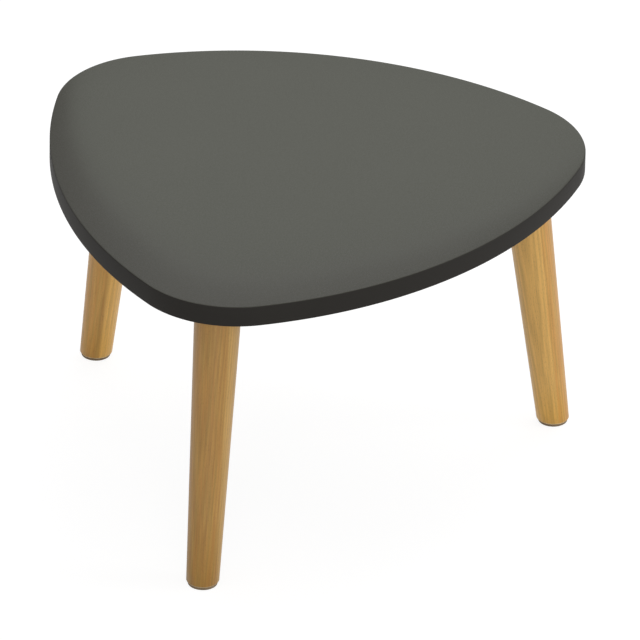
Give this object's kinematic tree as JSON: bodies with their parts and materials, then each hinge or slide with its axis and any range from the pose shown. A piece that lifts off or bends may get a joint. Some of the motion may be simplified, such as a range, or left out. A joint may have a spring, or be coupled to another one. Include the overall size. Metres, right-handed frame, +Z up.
{
  "type": "triangular coffee table",
  "caption": "Low coffee table: a rounded triangular lacquered board on splayed, tapered round wooden legs, screwed into steel plates under its corners.",
  "frame": {"origin": "on the floor, under the middle of the board's bounding box", "axes": "+Z up, +X towards the board's nose, the corner that is farthest right in the picture; the board is mirror-symmetric about the XZ plane"},
  "size_m": [0.6108, 0.5948, 0.374],
  "materials": {
    "top_lacquer": "fibre board under a satin dark grey lacquer, all over",
    "leg_wood": "turned beech under clear satin lacquer, grain along the leg",
    "felt": "grey-brown pressed felt",
    "zinc_steel": "bright zinc-plated steel"
  },
  "bodies": {
    "root": {"table_top": "top_lacquer", "leg_right": "leg_wood", "foot_pad_right": "felt", "leg_plate_right": "zinc_steel", "leg_nut_right": "zinc_steel", "hanger_bolt_right": "zinc_steel", "plate_screw_right_1": "zinc_steel", "plate_screw_right_2": "zinc_steel", "plate_screw_right_3": "zinc_steel", "plate_screw_right_4": "zinc_steel", "leg_back": "leg_wood", "foot_pad_back": "felt", "leg_plate_back": "zinc_steel", "leg_nut_back": "zinc_steel", "hanger_bolt_back": "zinc_steel", "plate_screw_back_1": "zinc_steel", "plate_screw_back_2": "zinc_steel", "plate_screw_back_3": "zinc_steel", "plate_screw_back_4": "zinc_steel", "leg_front": "leg_wood", "foot_pad_front": "felt", "leg_plate_front": "zinc_steel", "leg_nut_front": "zinc_steel", "hanger_bolt_front": "zinc_steel", "plate_screw_front_1": "zinc_steel", "plate_screw_front_2": "zinc_steel", "plate_screw_front_3": "zinc_steel", "plate_screw_front_4": "zinc_steel"}
  },
  "joints": []
}
